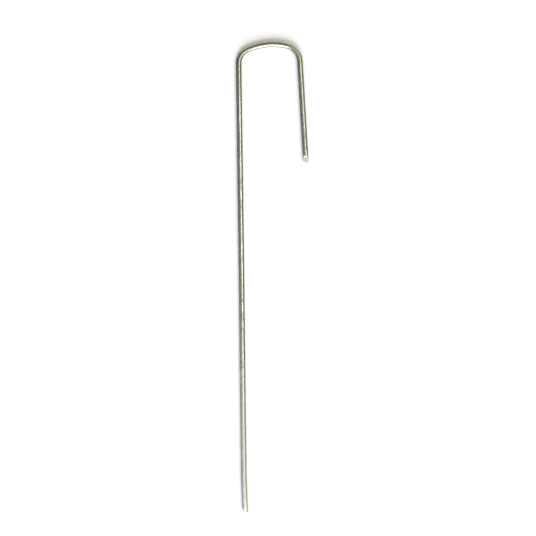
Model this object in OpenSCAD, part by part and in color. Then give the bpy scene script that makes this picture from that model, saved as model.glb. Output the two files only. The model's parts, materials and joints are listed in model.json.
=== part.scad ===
// Bent-wire tent stake: one length of round steel wire with a long straight shank that goes into the
// ground, a flattened crook at the top and a short return leg that hooks over a loop or grommet.
// The wire lies in the XZ plane. The origin is on the shank's axis at the lower end of its full-round
// wall, +Z runs up the shank and the crook bends towards +X. All lengths are in millimetres.

/* [Wire] */
// Diameter of the wire
wire_d = 3; // [2:0.1:5]

/* [Legs] */
// Length overall, from the sheared point to the outer top of the crook
overall_l = 254; // [150:1:400]
// Distance between the centre lines of the two legs, where the return leg begins
leg_spacing = 33.1; // [26:0.1:42]
// Straight length of the return leg, to the longest point of its cut end
return_l = 54.4; // [15:0.1:110]
// Angle in degrees at which the return leg splays away from the shank
splay = 2.56; // [0:0.01:6]

/* [Crook] */
// Centre line radius of the bend above the shank
shank_bend_r = 8; // [5:0.1:12]
// Angle in degrees turned by the bend above the shank
shank_bend_a = 65; // [50:1:80]
// Centre line radius of the flat arc across the crown
crown_r = 32.5; // [26:0.1:60]
// Centre line radius of the bend above the return leg
leg_bend_r = 9.6; // [6:0.1:13]

/* [Sheared ends] */
// Angle in degrees between the cut face of the shank's point and a square cut
point_cut_a = 30; // [0:1:60]
// Direction in degrees that this cut face looks, round the wire from the -X side towards the front
point_cut_turn = 32; // [0:1:90]
// Angle in degrees between the cut face of the return leg and a square cut
return_cut_a = 48; // [0:1:60]
// Direction in degrees that this cut face looks, round the wire from the -X side towards the front
return_cut_turn = 75; // [0:1:90]

/* [Hidden] */
$fn = 64;
galvanised = "#9c9a8c";

function thousandths(v) = round(1000 * v) / 1000;

// Length of wire over which the point's cut face runs from one side of the wire to the other
point_run = wire_d * tan(point_cut_a);

// A heading is the direction of travel along the wire: 0 is up the shank, 90 is level towards +X
leg_heading = 180 - splay;
// Heading at which the crown arc hands over to the bend above the return leg. The three arcs are
// tangent to each other, so this is the one heading that gives the stated leg spacing. It keeps three
// decimals, so that both arcs end on the same plane.
crown_end = thousandths(acos(-(leg_spacing - shank_bend_r - (crown_r - shank_bend_r) * cos(shank_bend_a)
                               - leg_bend_r * cos(splay)) / (crown_r - leg_bend_r)));

// Rise of the crook's centre line above the shank's straight length. Its highest point is on the crown
// arc, or on the bend after it if the crown arc ends before it is level.
crook_rise = leg_bend_r + (crown_r - leg_bend_r) * sin(min(crown_end, 90))
             - (crown_r - shank_bend_r) * sin(shank_bend_a);
// Height of the end of the shank's straight length
shank_z = overall_l - point_run - wire_d / 2 - crook_rise;

// Centres of the three arcs, as [x, z], and the end of the last one
shank_bend_c = [shank_bend_r, shank_z];
crown_c = shank_bend_c + (crown_r - shank_bend_r) * [cos(shank_bend_a), -sin(shank_bend_a)];
leg_bend_c = crown_c + (crown_r - leg_bend_r) * [-cos(crown_end), sin(crown_end)];
leg_start = leg_bend_c + leg_bend_r * [-cos(leg_heading), sin(leg_heading)];

// Moves the children to a point given as [x, z]. It takes two steps, whole thousandths and then the
// rest, so that no digit is lost and the end faces of neighbouring stretches of wire coincide.
module at(p) {
    coarse = [for (v = p) thousandths(v)];
    fine = p - coarse;
    translate([coarse.x, 0, coarse.y])
        translate([fine.x, 0, fine.y])
            children();
}

// Wire bent about the centre c at the radius r, from one heading to a later one
module bend(c, r, from, to) {
    at(c)
        rotate([90, 0, 0])
            rotate_extrude(angle = to - from, start = 180 - to)
                translate([r, 0])
                    circle(d = wire_d);
}

// Straight wire from the origin along +Z, its far end cut off at the angle cut_a from square. The
// wire's longest point is at l. The cut face leans towards +X, and then turns towards -Y.
module sheared_wire(l, cut_a, turn) {
    cut_run = wire_d * tan(cut_a);
    spare = wire_d;
    block = 3 * (wire_d + cut_run + spare);
    difference() {
        cylinder(d = wire_d, h = l + spare);
        translate([0, 0, l - cut_run / 2])
            rotate([0, 0, -turn])
                rotate([0, cut_a, 0])
                    translate([-block / 2, -block / 2, 0])
                        cube(block);
    }
}

// The whole stake, from the shank's point over the crook to the return leg's cut end
module stake_wire() {
    color(galvanised)
        union() {
            at([0, shank_z])
                rotate([0, 180, 0])
                    sheared_wire(shank_z + point_run, point_cut_a, point_cut_turn);
            bend(shank_bend_c, shank_bend_r, 0, shank_bend_a);
            bend(crown_c, crown_r, shank_bend_a, crown_end);
            bend(leg_bend_c, leg_bend_r, crown_end, leg_heading);
            at(leg_start)
                rotate([0, leg_heading, 0])
                    sheared_wire(return_l, return_cut_a, return_cut_turn);
        }
}

stake_wire();
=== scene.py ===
"""Looks of the bent-wire tent stake: its wire as one finely shaped mesh, on a white sheet in soft light.

Everything is in metres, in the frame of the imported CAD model: the wire lies in the XZ plane, +Z runs
up the shank, and the crook bends towards +X. The viewer looks along +Y.
"""

import json
import math

import bpy
import numpy as np
from mathutils import Matrix, Vector


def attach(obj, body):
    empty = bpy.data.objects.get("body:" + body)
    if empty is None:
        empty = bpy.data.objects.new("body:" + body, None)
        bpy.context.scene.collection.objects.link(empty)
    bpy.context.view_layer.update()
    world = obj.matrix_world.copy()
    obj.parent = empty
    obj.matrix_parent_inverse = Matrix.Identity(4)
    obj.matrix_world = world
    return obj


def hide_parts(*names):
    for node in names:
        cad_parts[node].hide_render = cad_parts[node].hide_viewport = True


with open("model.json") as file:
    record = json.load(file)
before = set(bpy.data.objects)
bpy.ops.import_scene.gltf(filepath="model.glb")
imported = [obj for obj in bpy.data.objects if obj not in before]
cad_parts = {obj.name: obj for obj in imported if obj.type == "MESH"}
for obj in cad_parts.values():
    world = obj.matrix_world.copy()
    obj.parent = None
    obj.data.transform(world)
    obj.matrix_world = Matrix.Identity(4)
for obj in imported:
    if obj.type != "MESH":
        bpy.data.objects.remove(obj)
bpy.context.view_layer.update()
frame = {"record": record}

MM = 0.001
mounts = {mount["name"]: mount for mount in frame["record"]["mounts"]}
shank_mount = mounts["shank"]
leg_mount = mounts["return_leg"]
seat_mount = mounts["line_seat"]

# ---- The wire's sizes ---------------------------------------------------------------------------
WIRE_R = shank_mount["dims"]["r_mm"] * MM
# Centre line radii of the bend above the shank, of the crown and of the bend above the return leg
SHANK_BEND_R = 8.0 * MM
CROWN_R = 32.5 * MM
LEG_BEND_R = 9.6 * MM
# Angles between the sheared faces and a square cut, and where round the wire it is cut shortest.
# Round the wire, 0 is the outer side of the bends, 90 the front and 180 the inner side.
POINT_CUT = math.radians(30)
POINT_SHORT_SIDE = math.radians(32)
RETURN_CUT = math.radians(48)
RETURN_SHORT_SIDE = math.radians(105)

# ---- How finely the mesh is made ----------------------------------------------------------------
SIDES = 48
RING_STEP = 0.45 * MM
# Distances from each sheared edge at which there are extra rings, in wire radii
EDGE_RINGS = (0.0, 0.015, 0.05, 0.1, 0.17, 0.25)
# Rings on each sheared face, as shares of the wire's radius
FACE_RINGS = (0.05, 0.2, 0.36, 0.5, 0.63, 0.74, 0.83, 0.9, 0.95, 0.985)
# Length of wire over which the rings lean from square to the slant of the sheared face
LEAN_LENGTH = 9.0 * MM

# ---- What bending and straightening did to the wire ---------------------------------------------
OVAL = 0.028                            # how much thinner the wire is across a tight bend, as a share
OVAL_SWELL = 0.4                        # share of that by which it is wider from front to back
BEND_BLEND = 3.0 * MM                   # half the length over which a bend's oval section comes in
BOW = 0.22 * MM                         # how far the lower shank stands off the straight line
BOW_STRETCH = (150 * MM, 40 * MM)       # where it leaves the line, and where it is all the way off it
KINK = 0.42 * MM                        # how far the point is knocked back
KINK_LENGTH = 19.0 * MM
KINK_POWER = 1.3                        # above 1, so that the kink starts gently
SPIRAL_PITCH = 9.2 * MM                 # pitch of the marks left by the wire straightener
SPIRAL_DEPTH = 0.010 * MM
SPIRAL_MARKS_ROUND = 2.2                # how quickly the marks change round the wire
SPIRAL_MARK_LENGTH = 14 * MM            # how slowly they change along it
SPIRAL_FAINT = 0.25                     # their strength away from the stretch where they are strong
SPIRAL_STRONG_FROM = (45 * MM, 75 * MM)       # where they grow strong, coming up the shank
SPIRAL_STRONG_UP_TO = (185 * MM, 125 * MM)    # and the same coming down it
LUMP_DEPTH = 0.012 * MM                 # unevenness of the zinc
LUMP_LENGTH = 2.5 * MM

# ---- What shearing did to its ends --------------------------------------------------------------
# How far the blade rolled in the skin beside each face, and over what width
POINT_ROLL = 0.13 * MM
POINT_ROLL_WIDTH = 0.30 * MM
RETURN_ROLL = 0.10 * MM
RETURN_ROLL_WIDTH = 0.25 * MM
BURR = 0.32 * MM                        # burr on the inner side of the point
BURR_LENGTH = 1.6 * MM
CRUSH = 0.9                             # how square the cutters made the return leg's end, 1 being fully
CRUSH_LENGTH = 3.2 * MM
# Grains of torn metal on each face: their height, and the share of it where the blade cut cleanly
POINT_GRAIN = 0.025 * MM
RETURN_GRAIN = 0.03 * MM
CLEAN_CUT_GRAIN = 0.25
COARSE_GRAIN = 5                        # how finely the coarse and the fine grain vary over a face
FINE_GRAIN = 13
FINE_GRAIN_SHARE = 0.6
BARE_EDGE = 0.12 * MM                   # width of the bare steel beside each face

# ---- How the zinc changes along the wire, and the light and shade painted on it -----------------
PALE_STRETCH = (12 * MM, 150 * MM)      # all pale below the first, and not at all above the second
PAINTED_LIGHT_OUTER_SIDE = 35 * MM                     # painted light: how much further up the outer side is paler
TIP_PAINTED_HIGHLIGHT = 0.3                          # painted highlight: how much paler still the point is
TIP_LENGTH = 8 * MM
PAINTED_SHADE_BELOW_BEND = (26 * MM, 6 * MM)     # painted shade on the crook starts this far below the bend above the shank
PAINTED_SHADE_DOWN_LEG = (2 * MM, 26 * MM)       # and fades this far down the return leg
PAINTED_SHADE_LOST = 0.9                         # all but a little of it
PAINTED_SHADE_PALE = 0.5                         # how much of the paleness the painted shade takes away
WARM_BEFORE_LEG = 4 * MM                # the zinc grows warmer from this far before the return leg
WARM_DOWN_LEG = 14 * MM                 # to this far down it


def smooth_step(start, end, value):
    """0 at the start and before it, 1 at the end and past it, and a smooth change between."""
    t = np.clip((value - start) / (end - start), 0.0, 1.0)
    return t * t * (3.0 - 2.0 * t)


def wave_noise(seed, *coordinates):
    """Gentle noise of about -1 to 1: a few waves of random direction and phase added up."""
    draw = np.random.default_rng(seed)
    total = 0.0
    count = 9
    for _ in range(count):
        phase = draw.uniform(0.0, 2.0 * math.pi)
        for coordinate in coordinates:
            phase = phase + draw.normal() * coordinate
        total = total + np.sin(phase)
    return total / math.sqrt(count)


# ---- Centre line --------------------------------------------------------------------------------
class CentreLine:
    """The wire's centre line, by distance along the wire from the longest side of its point."""

    def __init__(self):
        crown_x = seat_mount["pos_m"][0]
        crown_z = seat_mount["pos_m"][2] + WIRE_R - CROWN_R
        shank_bend_rise = math.sqrt((CROWN_R - SHANK_BEND_R) ** 2 - (crown_x - SHANK_BEND_R) ** 2)
        shank_bend_end = math.acos((crown_x - SHANK_BEND_R) / (CROWN_R - SHANK_BEND_R))

        # The return leg's line, and the bend that touches both it and the crown's arc
        leg_x, _, leg_z = leg_mount["axis"]
        leg_heading = math.atan2(leg_x, leg_z)
        inner_x, inner_z = math.cos(leg_heading), -math.sin(leg_heading)
        full_x, full_z = leg_mount["pos_m"][0], leg_mount["pos_m"][2]
        base_x = full_x + LEG_BEND_R * inner_x - crown_x
        base_z = full_z + LEG_BEND_R * inner_z - crown_z
        along = base_x * leg_x + base_z * leg_z
        across = base_x ** 2 + base_z ** 2 - along ** 2
        up_the_leg = along + math.sqrt((CROWN_R - LEG_BEND_R) ** 2 - across)
        bend_x = base_x - up_the_leg * leg_x
        bend_z = base_z - up_the_leg * leg_z
        crown_end = math.atan2(bend_z, -bend_x)

        point_run = 2.0 * WIRE_R * math.tan(POINT_CUT)
        return_run = 2.0 * WIRE_R * math.tan(RETURN_CUT)
        self.start = (0.0, -point_run)
        self.runs = [
            (crown_z + shank_bend_rise + point_run, None),
            (SHANK_BEND_R * shank_bend_end, SHANK_BEND_R),
            (CROWN_R * (crown_end - shank_bend_end), CROWN_R),
            (LEG_BEND_R * (leg_heading - crown_end), LEG_BEND_R),
            (up_the_leg + return_run, None),
        ]
        ends = np.cumsum([length for length, _ in self.runs])
        self.shank_top = ends[0]
        self.leg_top = ends[3]
        self.length = ends[-1]

    def at(self, s):
        """x, z and heading at s. A heading of 0 is up the shank, and 90 degrees is towards +X."""
        x, z = self.start
        heading = 0.0 * s
        begin = 0.0
        turned = 0.0
        for length, radius in self.runs:
            u = np.clip(s - begin, 0.0, length)
            if radius is None:
                x = x + u * math.sin(turned)
                z = z + u * math.cos(turned)
            else:
                x = x + radius * (math.cos(turned) - np.cos(turned + u / radius))
                z = z + radius * (np.sin(turned + u / radius) - math.sin(turned))
                heading = heading + u / radius
                turned += length / radius
            begin += length
        # Grains on the sheared faces may stand a little past the ends
        before = np.minimum(s, 0.0)
        beyond = np.maximum(s - self.length, 0.0)
        x = x + beyond * math.sin(turned)
        z = z + before + beyond * math.cos(turned)
        return x, z, heading

    def tightness(self, s):
        """1 in the tightest bend, less in wider ones and 0 on the straight legs, with soft changes."""
        total = 0.0
        begin = 0.0
        for length, radius in self.runs:
            end = begin + length
            if radius is not None:
                rise = smooth_step(begin - BEND_BLEND, begin + BEND_BLEND, s)
                fall = smooth_step(end - BEND_BLEND, end + BEND_BLEND, s)
                total = total + (rise - fall) * SHANK_BEND_R / radius
            begin = end
        return total


# ---- The wire's mesh ----------------------------------------------------------------------------
def ring_places(line):
    """Each ring's share of the radius and distance along the wire, from one face to the other."""
    edge = np.array(EDGE_RINGS) * WIRE_R
    first = edge[-1] + RING_STEP
    last = line.length - first
    plain = np.linspace(first, last, round((last - first) / RING_STEP) + 1)
    walls = np.concatenate([edge, plain, line.length - edge[::-1]])
    shares = np.concatenate([FACE_RINGS, np.ones(len(walls)), FACE_RINGS[::-1]])
    places = np.concatenate([np.zeros(len(FACE_RINGS)), walls, np.full(len(FACE_RINGS), line.length)])
    return shares[:, None], places[:, None]


class WireGrid:
    """Rings of points on the wire. Arrays have a row for each ring and a column for each side of it."""

    def __init__(self):
        self.line = CentreLine()
        self.share, place = ring_places(self.line)
        self.angle = np.linspace(0.0, 2.0 * math.pi, SIDES, endpoint=False)[None, :]
        self.from_point = place
        self.from_return = self.line.length - place
        self.on_face = (self.share < 1.0) * np.ones_like(self.angle)
        self.on_point = self.on_face * (place < 0.5 * self.line.length)
        self.on_return = self.on_face - self.on_point

        # Distance along the wire. Rings near the ends lean over to the slant of the sheared faces.
        point_lean = self.lean(self.from_point, POINT_SHORT_SIDE, POINT_CUT)
        return_lean = self.lean(self.from_return, RETURN_SHORT_SIDE, RETURN_CUT)
        self.s = place + point_lean - return_lean

        # Place round the straightener's spiral, and how strongly it marked the wire there
        self.turn = self.angle - 2.0 * math.pi * self.s / SPIRAL_PITCH
        strong = smooth_step(*SPIRAL_STRONG_FROM, self.s) * smooth_step(*SPIRAL_STRONG_UP_TO, self.s)
        self.marked = SPIRAL_FAINT + (1.0 - SPIRAL_FAINT) * strong

    def lean(self, from_end, short_side, cut):
        """How far back from the wire's longest point the slanted cut moves each point of a ring."""
        near_end = np.clip(1.0 - from_end / LEAN_LENGTH, 0.0, 1.0)
        return near_end * WIRE_R * math.tan(cut) * (1.0 + self.share * np.cos(self.angle - short_side))

    def rolled_edge(self, from_end, short_side, depth, width):
        """How far the blade pressed the skin in, on the side where it met the wire."""
        blade_side = smooth_step(-0.2, 1.0, np.cos(self.angle - short_side))
        return depth * np.exp(-(from_end / width) ** 2) * blade_side

    def radius(self):
        """Distance from the centre line: oval in the bends, lightly marked, and worked at the ends."""
        cos = np.cos(self.angle)
        sin = np.sin(self.angle)
        tight = self.line.tightness(self.s)
        across = 1.0 - OVAL * tight * cos ** 2 + OVAL_SWELL * OVAL * tight * sin ** 2
        crushed = CRUSH * np.exp(-(self.from_return / CRUSH_LENGTH) ** 2)
        squared = (cos ** 4 + sin ** 4) ** -0.25
        across = across * (1.0 + crushed * (squared - 1.0))

        mark_x = SPIRAL_MARKS_ROUND * np.cos(self.turn)
        mark_y = SPIRAL_MARKS_ROUND * np.sin(self.turn)
        marks = SPIRAL_DEPTH * self.marked * wave_noise(3, mark_x, mark_y, self.s / SPIRAL_MARK_LENGTH)
        lumps = LUMP_DEPTH * wave_noise(4, cos, sin, self.s / LUMP_LENGTH)

        rolled = self.rolled_edge(self.from_point, POINT_SHORT_SIDE, POINT_ROLL, POINT_ROLL_WIDTH)
        rolled = rolled + self.rolled_edge(
            self.from_return, RETURN_SHORT_SIDE, RETURN_ROLL, RETURN_ROLL_WIDTH)
        burr = BURR * np.exp(-self.from_point / BURR_LENGTH) * smooth_step(0.3, 1.0, -cos)
        return self.share * (WIRE_R * across + lumps + marks - rolled + burr)

    def grain(self):
        """How far torn metal stands off the sheared faces: little where the blade cut, more past it."""
        x = self.share * np.cos(self.angle)
        y = self.share * np.sin(self.angle)
        grain = wave_noise(5, COARSE_GRAIN * x, COARSE_GRAIN * y)
        grain = grain + FINE_GRAIN_SHARE * wave_noise(6, FINE_GRAIN * x, FINE_GRAIN * y)
        torn_point = smooth_step(0.1, -0.5, self.share * np.cos(self.angle - POINT_SHORT_SIDE))
        torn_return = smooth_step(0.2, -0.4, self.share * np.cos(self.angle - RETURN_SHORT_SIDE))
        at_point = self.on_point * POINT_GRAIN * grain * (CLEAN_CUT_GRAIN + torn_point)
        at_return = self.on_return * RETURN_GRAIN * grain * (CLEAN_CUT_GRAIN + torn_return)
        return at_point - at_return

    def points(self, s, radius):
        """Where each point is, with a shank that isn't quite straight and a point knocked aside."""
        x, z, heading = self.line.at(s)
        x = x - BOW * smooth_step(*BOW_STRETCH, s)
        x = x + KINK * np.clip(1.0 - s / KINK_LENGTH, 0.0, 1.0) ** KINK_POWER
        x = x - np.cos(heading) * np.cos(self.angle) * radius
        y = -np.sin(self.angle) * radius
        z = z + np.sin(heading) * np.cos(self.angle) * radius
        return np.stack([x, y, z], -1)

    def place_facts(self, s):
        """Paleness of the zinc, with painted light and shade in it, its warmth, and whether the steel is
        bare.
        """
        line = self.line
        # Painted shade on the crook: darker from below the bend above the shank to partway down the
        # return leg
        painted_shade = smooth_step(*[line.shank_top - below for below in PAINTED_SHADE_BELOW_BEND], s)
        painted_shade = painted_shade - PAINTED_SHADE_LOST * smooth_step(*[line.leg_top + down for down in PAINTED_SHADE_DOWN_LEG], s)
        # Paler down the shank, with painted light on the outer side, which is paler further up
        paleness_and_painted_light = 1.0 - smooth_step(*PALE_STRETCH, s - PAINTED_LIGHT_OUTER_SIDE * np.cos(self.angle))
        # The point gets a painted highlight, and the crook's painted shade takes paleness away
        paleness_and_painted_light = paleness_and_painted_light + TIP_PAINTED_HIGHLIGHT * np.exp(-self.from_point / TIP_LENGTH) - PAINTED_SHADE_PALE * painted_shade
        warm = smooth_step(line.leg_top - WARM_BEFORE_LEG, line.leg_top + WARM_DOWN_LEG, s)
        bare_edges = np.exp(-self.from_point / BARE_EDGE) + np.exp(-self.from_return / BARE_EDGE)
        bare = np.clip(self.on_face + bare_edges, 0.0, 1.0)
        return np.stack([paleness_and_painted_light, warm, bare], -1)


def build_wire():
    grid = WireGrid()
    s = grid.s + grid.grain()
    ones = np.ones_like(s)
    mesh = grid_mesh("stake_wire_skin", grid.points(s, grid.radius()))

    # What the material reads: places on the skin and round the spiral, and facts of each place
    skin_x = WIRE_R * grid.share * np.cos(grid.angle)
    skin_y = WIRE_R * grid.share * np.sin(grid.angle)
    spiral_x = WIRE_R * np.cos(grid.turn)
    spiral_y = WIRE_R * np.sin(grid.turn)
    add_attribute(mesh, "skin", "FLOAT_VECTOR", np.stack([skin_x, skin_y, s], -1))
    add_attribute(mesh, "spiral", "FLOAT_VECTOR", np.stack([spiral_x, spiral_y, s], -1))
    add_attribute(mesh, "place", "FLOAT_VECTOR", grid.place_facts(s))
    add_attribute(mesh, "marked", "FLOAT", grid.marked * ones)

    piece = bpy.data.objects.new("stake_wire_skin", mesh)
    bpy.context.scene.collection.objects.link(piece)
    return piece


def add_attribute(mesh, name, kind, values):
    attribute = mesh.attributes.new(name, kind, "POINT")
    value_name = "vector" if kind == "FLOAT_VECTOR" else "value"
    attribute.data.foreach_set(value_name, with_middles(values).astype(np.float32).ravel())


def with_middles(grid):
    """The grid's rows in one list, with the middle of its first and of its last ring at the end."""
    rings, sides = grid.shape[:2]
    rows = grid.reshape(rings * sides, -1)
    return np.concatenate([rows, rows[:sides].mean(0)[None], rows[-sides:].mean(0)[None]])


def grid_mesh(name, grid):
    """A closed tube through the grid's rings, with a fan of triangles at each end."""
    rings, sides, _ = grid.shape
    faces = []
    for ring in range(rings - 1):
        for side in range(sides):
            after = (side + 1) % sides
            low = ring * sides
            high = low + sides
            faces.append((low + side, high + side, high + after, low + after))
    first_middle = rings * sides
    last_middle = first_middle + 1
    last_ring = (rings - 1) * sides
    for side in range(sides):
        after = (side + 1) % sides
        faces.append((first_middle, side, after))
        faces.append((last_middle, last_ring + after, last_ring + side))
    mesh = bpy.data.meshes.new(name)
    mesh.from_pydata(with_middles(grid).tolist(), [], faces)
    mesh.shade_smooth()
    mesh.validate()
    return mesh


# ---- Materials ----------------------------------------------------------------------------------
# Colours that go with the streaks, from the dark ones to the light ones
ZINC = ((0.40, 0.39, 0.33, 1), (0.97, 0.95, 0.83, 1))
PALE_ZINC = ((0.51, 0.53, 0.48, 1), (0.72, 0.74, 0.67, 1))
BROWN_ZINC = ((0.38, 0.33, 0.26, 1), (0.86, 0.78, 0.64, 1))
BARE_STEEL = ((0.32, 0.31, 0.28, 1), (0.55, 0.52, 0.47, 1))
# Colours of single features
MOTTLE_COLOUR = (0.86, 0.86, 0.76, 1)
# painted shade on the crook
PAINTED_SHADE_COLOUR = (0.30, 0.30, 0.24, 1)
# painted highlight at the point
TIP_PAINTED_HIGHLIGHT_COLOUR = (0.90, 0.92, 0.84, 1)
SPECK_COLOUR = (0.34, 0.34, 0.29, 1)
LIGHT_MARK_COLOUR = (0.90, 0.90, 0.80, 1)
DARK_MARK_COLOUR = (0.27, 0.27, 0.22, 1)
SHEET_COLOUR = (0.91, 0.91, 0.91, 1)
BROWN_SHARE = 0.20       # how brown the warm zinc of the return leg is
WARM_ROUGHNESS = 0.05    # how much rougher it is
BARE_ROUGHNESS = 0.30    # how much rougher the bare steel is
BUMP_HEIGHT = 0.06 * MM  # height of the finest relief, which the bump shows


class Shader:
    """A small helper that adds nodes to one node tree and joins them."""

    def __init__(self, tree):
        self.tree = tree
        self.tree.nodes.clear()

    def add(self, kind, settings=None, **inputs):
        """A node with these settings. An input is a value, or the output of another node."""
        node = self.tree.nodes.new(kind)
        for key, value in (settings or {}).items():
            setattr(node, key, value)
        for key, value in inputs.items():
            socket = node.inputs[key.replace("_", " ")]
            self.feed(socket, value)
        return node

    def feed(self, socket, value):
        if isinstance(value, bpy.types.NodeSocket):
            self.tree.links.new(value, socket)
        else:
            socket.default_value = value

    def attribute(self, name, output="Vector"):
        return self.add("ShaderNodeAttribute", {"attribute_name": name}).outputs[output]

    def noise(self, vector, scale, along=1.0, detail=3.0, roughness=0.5):
        """Noise with a scale per metre. An along below 1 draws it out along the wire."""
        mapped = self.add("ShaderNodeMapping", Vector=vector, Scale=(1, 1, along)).outputs["Vector"]
        texture = self.add(
            "ShaderNodeTexNoise", Vector=mapped, Scale=scale, Detail=detail, Roughness=roughness)
        return texture.outputs["Fac"]

    def spread(self, value, low, high, to_low=0.0, to_high=1.0):
        """value, with low to high brought to to_low to to_high, and kept between them."""
        node = self.add("ShaderNodeMapRange")
        for index, setting in enumerate((value, low, high, to_low, to_high)):
            self.feed(node.inputs[index], setting)
        return node.outputs["Result"]

    def math(self, operation, first, second):
        node = self.add("ShaderNodeMath", {"operation": operation})
        self.feed(node.inputs[0], first)
        self.feed(node.inputs[1], second)
        return node.outputs[0]

    def times(self, first, second):
        return self.math("MULTIPLY", first, second)

    def total(self, *values):
        """The sum of two or more values."""
        result = values[0]
        for value in values[1:]:
            result = self.math("ADD", result, value)
        return result

    def blend(self, amount, first, second):
        node = self.add("ShaderNodeMix", {"data_type": "RGBA"})
        self.feed(node.inputs[0], amount)
        self.feed(node.inputs[6], first)
        self.feed(node.inputs[7], second)
        return node.outputs[2]


def new_material(name):
    material = bpy.data.materials.new(name)
    material.use_nodes = True
    return material, Shader(material.node_tree)


def zinc_colour(sh, streaks, marks, marked, paleness_and_painted_light, warm):
    """Streaked and mottled zinc with painted shade on the crook and a painted highlight at the point,
    specked and marked.
    """
    skin = sh.attribute("skin")
    mottle = sh.noise(skin, 700, along=0.35)
    speckle = sh.noise(skin, 1150, along=0.65, roughness=0.75)

    zinc = sh.blend(sh.spread(streaks, 0.38, 0.62), *ZINC)
    zinc = sh.blend(sh.spread(mottle, 0.35, 0.75, 0.0, 0.45), zinc, MOTTLE_COLOUR)
    # Painted shade on the crook, where the paleness falls below zero
    zinc = sh.blend(sh.spread(paleness_and_painted_light, -0.1, -0.5, 0.0, 0.40), zinc, PAINTED_SHADE_COLOUR)
    # Pale zinc down the shank, reaching further up the outer side as painted light
    pale_zinc = sh.blend(sh.spread(streaks, 0.3, 0.7), *PALE_ZINC)
    zinc = sh.blend(sh.spread(paleness_and_painted_light, 0.15, 1.0), zinc, pale_zinc)
    # Painted highlight at the point
    zinc = sh.blend(sh.spread(paleness_and_painted_light, 0.95, 1.25, 0.0, 0.60), zinc, TIP_PAINTED_HIGHLIGHT_COLOUR)
    brown_zinc = sh.blend(sh.spread(streaks, 0.35, 0.7), *BROWN_ZINC)
    zinc = sh.blend(sh.times(warm, BROWN_SHARE), zinc, brown_zinc)

    # Dark specks, fewer in the pale zinc, then the straightener's light and dark marks
    specks = sh.times(sh.spread(speckle, 0.53, 0.38), sh.spread(paleness_and_painted_light, 0.3, 0.9, 0.80, 0.45))
    zinc = sh.blend(specks, zinc, SPECK_COLOUR)
    light_marks = sh.times(marked, sh.spread(marks, 0.52, 0.62, 0.0, 0.70))
    dark_marks = sh.times(marked, sh.spread(marks, 0.46, 0.36, 0.0, 0.50))
    zinc = sh.blend(light_marks, zinc, LIGHT_MARK_COLOUR)
    return sh.blend(dark_marks, zinc, DARK_MARK_COLOUR)


def galvanised_steel():
    """Zinc-coated drawn wire, with the marks of the straightener and bare sheared ends."""
    material, sh = new_material("galvanised_wire_look")
    skin = sh.attribute("skin")
    paleness_and_painted_light, warm, bare = sh.add("ShaderNodeSeparateXYZ", Vector=sh.attribute("place")).outputs
    marked = sh.attribute("marked", "Fac")
    streaks = sh.noise(skin, 2600, along=0.05, detail=4.0, roughness=0.6)
    clouds = sh.noise(skin, 120, along=0.6, detail=2.0)
    grit = sh.noise(skin, 9000, detail=2.0)
    marks = sh.noise(sh.attribute("spiral"), 1700, along=0.07, roughness=0.6)

    zinc = zinc_colour(sh, streaks, marks, marked, paleness_and_painted_light, warm)
    steel = sh.blend(sh.spread(grit, 0.3, 0.7), *BARE_STEEL)
    colour = sh.blend(bare, zinc, steel)
    metal = sh.spread(paleness_and_painted_light, 0.1, 1.2, 0.95, 0.70)
    rough = sh.total(
        sh.spread(streaks, 0.3, 0.7, 0.29, 0.22),
        sh.spread(paleness_and_painted_light, 0.2, 1.0, 0.0, 0.24),
        sh.times(warm, WARM_ROUGHNESS),
        sh.spread(clouds, 0.35, 0.7, 0.0, 0.08),
        sh.times(bare, BARE_ROUGHNESS),
    )
    height = sh.total(
        sh.times(streaks, 0.5),
        sh.times(sh.times(marks, marked), 0.8),
        sh.times(grit, 0.12),
    )
    bump = sh.add("ShaderNodeBump", Strength=0.5, Distance=BUMP_HEIGHT, Height=height)

    surface = sh.add("ShaderNodeBsdfPrincipled", Base_Color=colour, Metallic=metal, Roughness=rough)
    sh.feed(surface.inputs["Normal"], bump.outputs["Normal"])
    sh.add("ShaderNodeOutputMaterial", Surface=surface.outputs[0])
    return material


def white_sheet():
    """Matt white, and see-through from behind, so that the sheet hides nothing from the back."""
    material, sh = new_material("white_sheet")
    white = sh.add("ShaderNodeBsdfDiffuse", Color=SHEET_COLOUR)
    clear = sh.add("ShaderNodeBsdfTransparent")
    side = sh.add("ShaderNodeNewGeometry").outputs["Backfacing"]
    mix = sh.add("ShaderNodeMixShader")
    sh.feed(mix.inputs[0], side)
    sh.feed(mix.inputs[1], white.outputs[0])
    sh.feed(mix.inputs[2], clear.outputs[0])
    sh.add("ShaderNodeOutputMaterial", Surface=mix.outputs[0])
    return material


# ---- Stage, light and camera --------------------------------------------------------------------
LENS = 100.0
SENSOR = 36.0
VIEW_WIDTH = 289.4 * MM                     # width in view at the stake
AIM = Vector((14.33 * MM, 0.0, 130.05 * MM))
ROLL = math.radians(0.794)
NEAREST = 0.01                              # the camera sees nothing nearer or further than these
FARTHEST = 10.0
SHEET_SIZE = 1.6
SHEET_GAP = 0.03 * MM
# Lights, each with the direction from the stake to it
KEY = {"towards": (-0.04, -0.60, -0.80), "distance": 3.0, "size": (1.80, 1.80), "watts": 104.0,
       "colour": (0.81, 0.86, 1.0)}
STRIP = {"towards": (0.51, -0.86, 0.0), "distance": 1.5, "size": (0.75, 2.10), "watts": 11.7,
         "colour": (1.0, 0.95, 0.80)}
# Lights the back of the stake through the sheet, and reaches nothing that is seen from the front
BACK = {"towards": (0.0, 1.0, 0.15), "distance": 1.2, "size": (0.55, 0.90), "watts": 5.0,
        "colour": (1.0, 0.98, 0.92)}
# The room's colour, and its brightness overhead, behind the crook, and at the pale bench below
ROOM_COLOUR = (1.0, 0.98, 0.88, 1)
ROOM_ABOVE = 0.23
ROOM_BEHIND_CROOK = 0.90
ROOM_BELOW = 0.85
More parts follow.
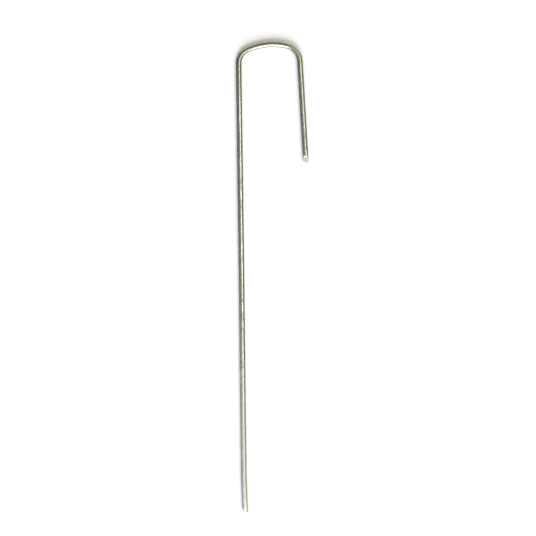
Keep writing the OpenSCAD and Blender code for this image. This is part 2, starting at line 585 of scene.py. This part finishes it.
# Share of that brightness at the far left and at the far right
ROOM_LEFT = 0.7
ROOM_RIGHT = 0.5
BACKDROP_COLOUR = (0.95, 0.95, 0.95, 1)


def add_sheet():
    half = SHEET_SIZE / 2
    y = WIRE_R + SHEET_GAP
    corners = [(-half, y, -half), (half, y, -half), (half, y, half), (-half, y, half)]
    mesh = bpy.data.meshes.new("sheet")
    mesh.from_pydata([(a + AIM.x, b, c + AIM.z) for a, b, c in corners], [], [(0, 1, 2, 3)])
    sheet = bpy.data.objects.new("sheet", mesh)
    bpy.context.scene.collection.objects.link(sheet)
    mesh.materials.append(white_sheet())
    sheet.visible_glossy = False
    sheet.visible_shadow = False


def add_area_light(name, light):
    data = bpy.data.lights.new(name, "AREA")
    data.shape = "RECTANGLE"
    data.size, data.size_y = light["size"]
    data.energy = light["watts"]
    data.color = light["colour"]
    lamp = bpy.data.objects.new(name, data)
    bpy.context.scene.collection.objects.link(lamp)
    towards = Vector(light["towards"]).normalized()
    lamp.location = AIM + towards * light["distance"]
    lamp.rotation_euler = towards.to_track_quat("Z", "Y").to_euler()


def add_world():
    """A room that is brighter below than above. The camera sees a plain pale backdrop past the sheet."""
    world = bpy.data.worlds.new("studio")
    bpy.context.scene.world = world
    world.use_nodes = True
    sh = Shader(world.node_tree)
    direction = sh.add("ShaderNodeTexCoord").outputs["Generated"]
    to_right, to_back, to_top = sh.add("ShaderNodeSeparateXYZ", Vector=direction).outputs
    strength = sh.spread(to_top, 0.0, -0.8, ROOM_ABOVE, ROOM_BELOW)
    strength = sh.times(strength, sh.spread(to_right, -0.8, 0.2, ROOM_LEFT, 1.0))
    strength = sh.times(strength, sh.spread(to_right, 0.95, 0.65, ROOM_RIGHT, 1.0))
    behind_crook = sh.times(sh.spread(to_top, 0.35, 0.85), sh.spread(to_back, 0.0, 0.4))
    strength = sh.total(strength, sh.times(behind_crook, ROOM_BEHIND_CROOK))
    room = sh.add("ShaderNodeBackground", Color=ROOM_COLOUR, Strength=strength)
    seen = sh.add("ShaderNodeBackground", Color=BACKDROP_COLOUR, Strength=1.0)
    mix = sh.add("ShaderNodeMixShader")
    sh.feed(mix.inputs[0], sh.add("ShaderNodeLightPath").outputs["Is Camera Ray"])
    sh.feed(mix.inputs[1], room.outputs[0])
    sh.feed(mix.inputs[2], seen.outputs[0])
    sh.add("ShaderNodeOutputWorld", Surface=mix.outputs[0])


def add_camera():
    data = bpy.data.cameras.new("camera")
    data.lens = LENS
    data.sensor_width = SENSOR
    data.clip_start = NEAREST
    data.clip_end = FARTHEST
    camera = bpy.data.objects.new("camera", data)
    bpy.context.scene.collection.objects.link(camera)
    distance = VIEW_WIDTH * LENS / SENSOR
    forward = Vector((0.0, 1.0, 0.0))
    up = Vector((math.sin(ROLL), 0.0, math.cos(ROLL)))
    right = forward.cross(up)
    turn = Matrix((right, up, -forward)).transposed().to_4x4()
    camera.matrix_world = Matrix.Translation(AIM - forward * distance) @ turn
    bpy.context.scene.camera = camera


add_camera()
add_sheet()
add_area_light("key", KEY)
add_area_light("strip", STRIP)
add_area_light("back", BACK)
add_world()
bpy.context.scene.view_settings.view_transform = "Standard"

wire = build_wire()
wire.data.materials.append(galvanised_steel())
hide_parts("stake_wire")
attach(wire, "root")
